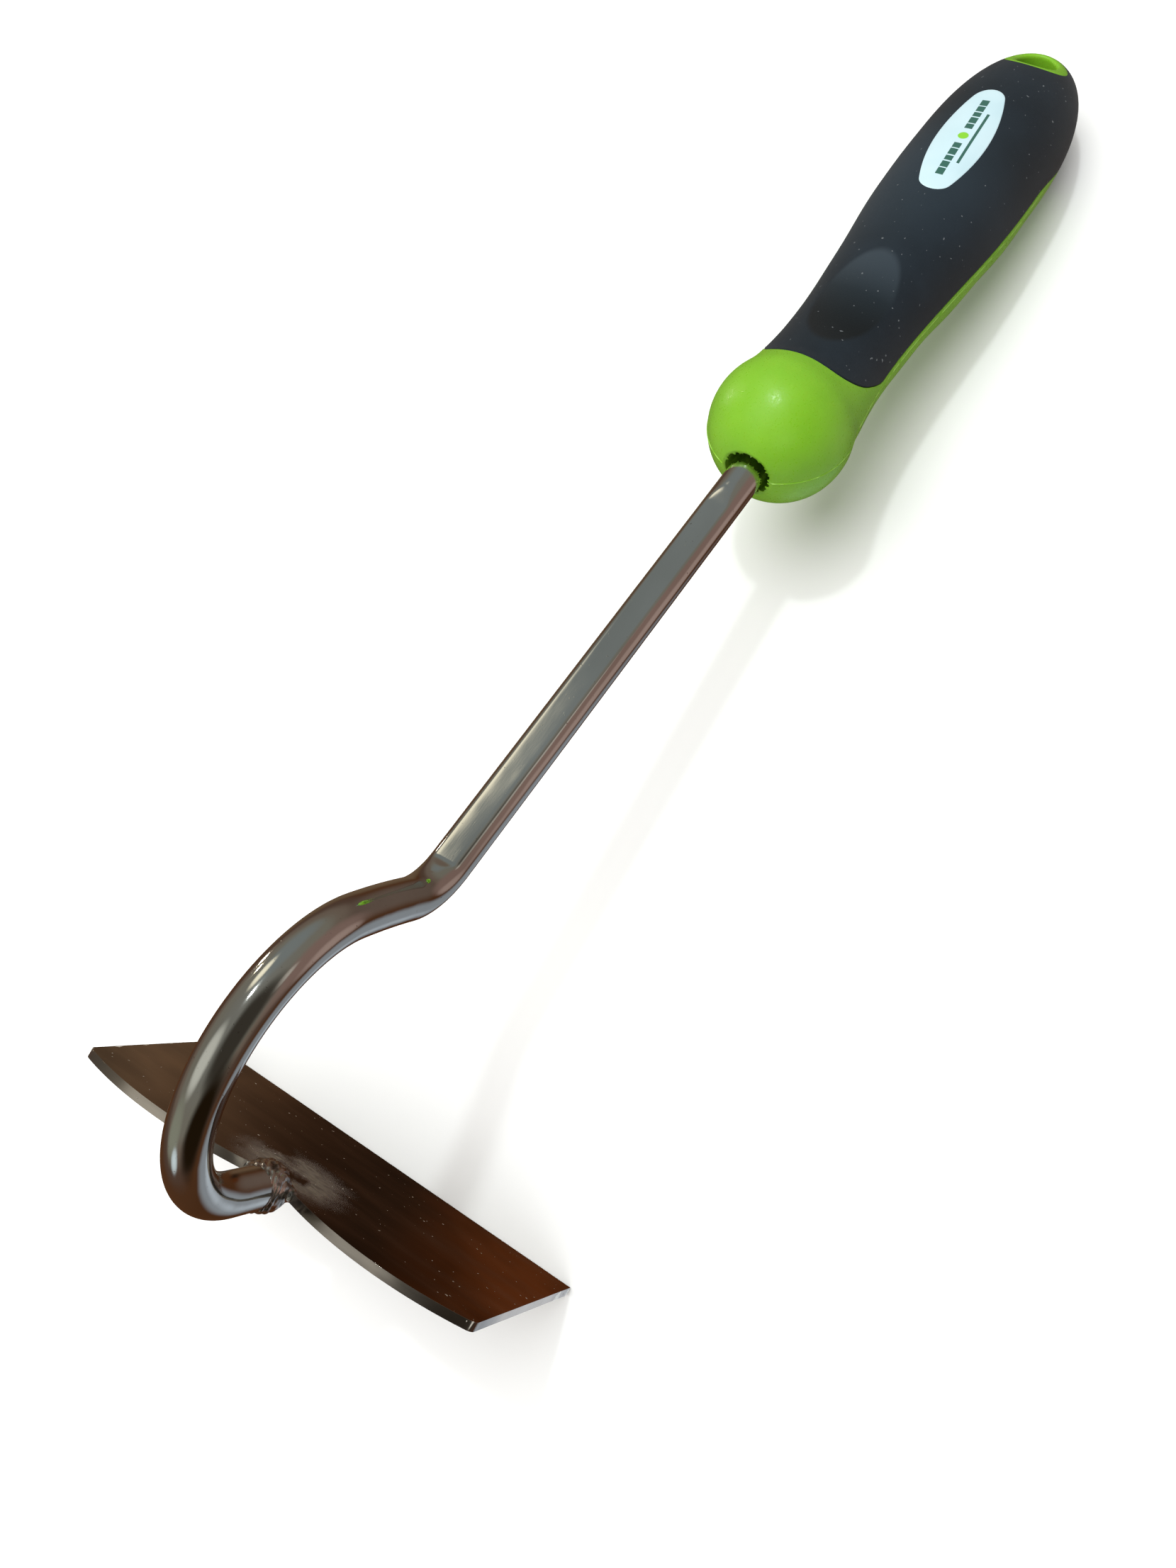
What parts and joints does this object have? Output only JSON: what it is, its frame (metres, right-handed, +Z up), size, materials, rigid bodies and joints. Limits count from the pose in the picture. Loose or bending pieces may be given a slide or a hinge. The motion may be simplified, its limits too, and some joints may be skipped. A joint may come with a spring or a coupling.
{
  "type": "gooseneck hand hoe",
  "caption": "Short-handled hand hoe: a polished steel swan-neck bar carries a wide flat blade and ends in a ball-fronted grip of hard plastic with a soft cover and a hang hole.",
  "frame": {"origin": "on the level surface the tool lies on, under the middle of its bounding box", "axes": "+X along the tool from the blade end to the butt of the grip, +Y across the blade, +Z up with the tool lying on its cutting edge and butt"},
  "size_m": [0.333, 0.0986, 0.0977],
  "materials": {
    "polished_steel": "bright polished stainless steel with fine scratches",
    "weld_steel": "rippled weld metal, buffed over",
    "green_plastic": "satin moulded polypropylene",
    "soft_rubber": "matt soft-touch rubber",
    "label_film": null
  },
  "bodies": {
    "root": {"blade": "polished_steel", "gooseneck_bar": "polished_steel", "weld_bead": "weld_steel", "handle_core": "green_plastic", "soft_grip": "soft_rubber", "label": "label_film"}
  },
  "joints": []
}
